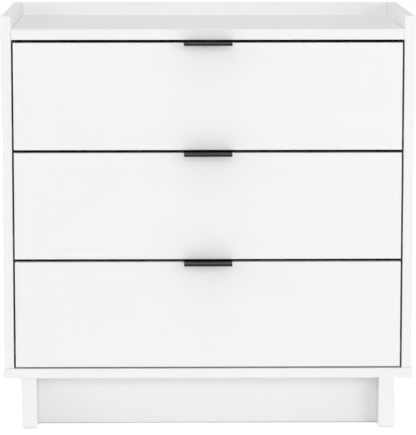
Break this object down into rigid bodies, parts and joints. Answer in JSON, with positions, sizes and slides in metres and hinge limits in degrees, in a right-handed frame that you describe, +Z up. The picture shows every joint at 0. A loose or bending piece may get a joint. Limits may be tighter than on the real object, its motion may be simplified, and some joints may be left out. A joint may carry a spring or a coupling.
{
  "type": "changing table",
  "caption": "White dresser-style changing table: open-fronted tray top with a raised rim, inset drawers with black edge pulls on roller runners, recessed plinth.",
  "frame": {"origin": "on the floor, under the middle of the whole table with its pulls", "axes": "+Z up, +X to the right as seen from the front, +Y from the drawer fronts towards the back"},
  "size_m": [0.843, 0.492, 0.851],
  "materials": {
    "white_lacquer": "satin white lacquer on board",
    "drawer_board": "matt off-white foil on board",
    "hardboard": "matt painted hardboard",
    "coated_steel": "off-white epoxy-coated steel sheet",
    "roller_nylon": "natural nylon",
    "black_coat": "satin black powder coat on bent sheet",
    "glide_plastic": "grey nylon"
  },
  "bodies": {
    "cabinet": {"left_side_panel": "white_lacquer", "right_side_panel": "white_lacquer", "top_panel": "white_lacquer", "back_rim": "white_lacquer", "bottom_panel": "white_lacquer", "back_panel": "hardboard", "plinth_left_board": "white_lacquer", "plinth_right_board": "white_lacquer", "plinth_front_panel": "white_lacquer", "plinth_back_panel": "white_lacquer", "glide_front_left": "glide_plastic", "glide_front_right": "glide_plastic", "glide_rear_left": "glide_plastic", "glide_rear_right": "glide_plastic", "top_left_case_runner": "coated_steel", "top_right_case_runner": "coated_steel", "middle_left_case_runner": "coated_steel", "middle_right_case_runner": "coated_steel", "bottom_left_case_runner": "coated_steel", "bottom_right_case_runner": "coated_steel"},
    "top_drawer": {"top_drawer_front": "white_lacquer", "top_drawer_left_side": "drawer_board", "top_drawer_right_side": "drawer_board", "top_drawer_back": "drawer_board", "top_drawer_bottom": "hardboard", "top_drawer_pull": "black_coat", "top_left_drawer_runner": "coated_steel", "top_right_drawer_runner": "coated_steel"},
    "top_left_front_roller": {"top_left_front_roller": "roller_nylon"},
    "top_left_rear_roller": {"top_left_rear_roller": "roller_nylon"},
    "top_right_front_roller": {"top_right_front_roller": "roller_nylon"},
    "top_right_rear_roller": {"top_right_rear_roller": "roller_nylon"},
    "middle_drawer": {"middle_drawer_front": "white_lacquer", "middle_drawer_left_side": "drawer_board", "middle_drawer_right_side": "drawer_board", "middle_drawer_back": "drawer_board", "middle_drawer_bottom": "hardboard", "middle_drawer_pull": "black_coat", "middle_left_drawer_runner": "coated_steel", "middle_right_drawer_runner": "coated_steel"},
    "middle_left_front_roller": {"middle_left_front_roller": "roller_nylon"},
    "middle_left_rear_roller": {"middle_left_rear_roller": "roller_nylon"},
    "middle_right_front_roller": {"middle_right_front_roller": "roller_nylon"},
    "middle_right_rear_roller": {"middle_right_rear_roller": "roller_nylon"},
    "bottom_drawer": {"bottom_drawer_front": "white_lacquer", "bottom_drawer_left_side": "drawer_board", "bottom_drawer_right_side": "drawer_board", "bottom_drawer_back": "drawer_board", "bottom_drawer_bottom": "hardboard", "bottom_drawer_pull": "black_coat", "bottom_left_drawer_runner": "coated_steel", "bottom_right_drawer_runner": "coated_steel"},
    "bottom_left_front_roller": {"bottom_left_front_roller": "roller_nylon"},
    "bottom_left_rear_roller": {"bottom_left_rear_roller": "roller_nylon"},
    "bottom_right_front_roller": {"bottom_right_front_roller": "roller_nylon"},
    "bottom_right_rear_roller": {"bottom_right_rear_roller": "roller_nylon"}
  },
  "joints": [
    {"name": "top_drawer_slide", "type": "slide", "parent": "cabinet", "child": "top_drawer", "axis": [0, -1, 0], "range_m": [0, 0.285]},
    {"name": "top_left_front_roller_spin", "type": "hinge", "parent": "cabinet", "child": "top_left_front_roller", "pos_m": [-0.39275, -0.177, 0.6171], "axis": [1, 0, 0], "continuous": true},
    {"name": "top_left_rear_roller_spin", "type": "hinge", "parent": "top_drawer", "child": "top_left_rear_roller", "pos_m": [-0.39275, 0.19, 0.6144], "axis": [1, 0, 0], "continuous": true},
    {"name": "top_right_front_roller_spin", "type": "hinge", "parent": "cabinet", "child": "top_right_front_roller", "pos_m": [0.39275, -0.177, 0.6171], "axis": [1, 0, 0], "continuous": true},
    {"name": "top_right_rear_roller_spin", "type": "hinge", "parent": "top_drawer", "child": "top_right_rear_roller", "pos_m": [0.39275, 0.19, 0.6144], "axis": [1, 0, 0], "continuous": true},
    {"name": "middle_drawer_slide", "type": "slide", "parent": "cabinet", "child": "middle_drawer", "axis": [0, -1, 0], "range_m": [0, 0.285]},
    {"name": "middle_left_front_roller_spin", "type": "hinge", "parent": "cabinet", "child": "middle_left_front_roller", "pos_m": [-0.39275, -0.177, 0.3925], "axis": [1, 0, 0], "continuous": true},
    {"name": "middle_left_rear_roller_spin", "type": "hinge", "parent": "middle_drawer", "child": "middle_left_rear_roller", "pos_m": [-0.39275, 0.19, 0.3898], "axis": [1, 0, 0], "continuous": true},
    {"name": "middle_right_front_roller_spin", "type": "hinge", "parent": "cabinet", "child": "middle_right_front_roller", "pos_m": [0.39275, -0.177, 0.3925], "axis": [1, 0, 0], "continuous": true},
    {"name": "middle_right_rear_roller_spin", "type": "hinge", "parent": "middle_drawer", "child": "middle_right_rear_roller", "pos_m": [0.39275, 0.19, 0.3898], "axis": [1, 0, 0], "continuous": true},
    {"name": "bottom_drawer_slide", "type": "slide", "parent": "cabinet", "child": "bottom_drawer", "axis": [0, -1, 0], "range_m": [0, 0.285]},
    {"name": "bottom_left_front_roller_spin", "type": "hinge", "parent": "cabinet", "child": "bottom_left_front_roller", "pos_m": [-0.39275, -0.177, 0.1679], "axis": [1, 0, 0], "continuous": true},
    {"name": "bottom_left_rear_roller_spin", "type": "hinge", "parent": "bottom_drawer", "child": "bottom_left_rear_roller", "pos_m": [-0.39275, 0.19, 0.1652], "axis": [1, 0, 0], "continuous": true},
    {"name": "bottom_right_front_roller_spin", "type": "hinge", "parent": "cabinet", "child": "bottom_right_front_roller", "pos_m": [0.39275, -0.177, 0.1679], "axis": [1, 0, 0], "continuous": true},
    {"name": "bottom_right_rear_roller_spin", "type": "hinge", "parent": "bottom_drawer", "child": "bottom_right_rear_roller", "pos_m": [0.39275, 0.19, 0.1652], "axis": [1, 0, 0], "continuous": true}
  ],
  "couplings": [
    {"joint": "top_left_front_roller_spin", "follows": "top_drawer_slide", "rad_per_m": 90.909},
    {"joint": "top_left_rear_roller_spin", "follows": "top_drawer_slide", "rad_per_m": 90.909},
    {"joint": "top_right_front_roller_spin", "follows": "top_drawer_slide", "rad_per_m": 90.909},
    {"joint": "top_right_rear_roller_spin", "follows": "top_drawer_slide", "rad_per_m": 90.909},
    {"joint": "middle_left_front_roller_spin", "follows": "middle_drawer_slide", "rad_per_m": 90.909},
    {"joint": "middle_left_rear_roller_spin", "follows": "middle_drawer_slide", "rad_per_m": 90.909},
    {"joint": "middle_right_front_roller_spin", "follows": "middle_drawer_slide", "rad_per_m": 90.909},
    {"joint": "middle_right_rear_roller_spin", "follows": "middle_drawer_slide", "rad_per_m": 90.909},
    {"joint": "bottom_left_front_roller_spin", "follows": "bottom_drawer_slide", "rad_per_m": 90.909},
    {"joint": "bottom_left_rear_roller_spin", "follows": "bottom_drawer_slide", "rad_per_m": 90.909},
    {"joint": "bottom_right_front_roller_spin", "follows": "bottom_drawer_slide", "rad_per_m": 90.909},
    {"joint": "bottom_right_rear_roller_spin", "follows": "bottom_drawer_slide", "rad_per_m": 90.909}
  ]
}
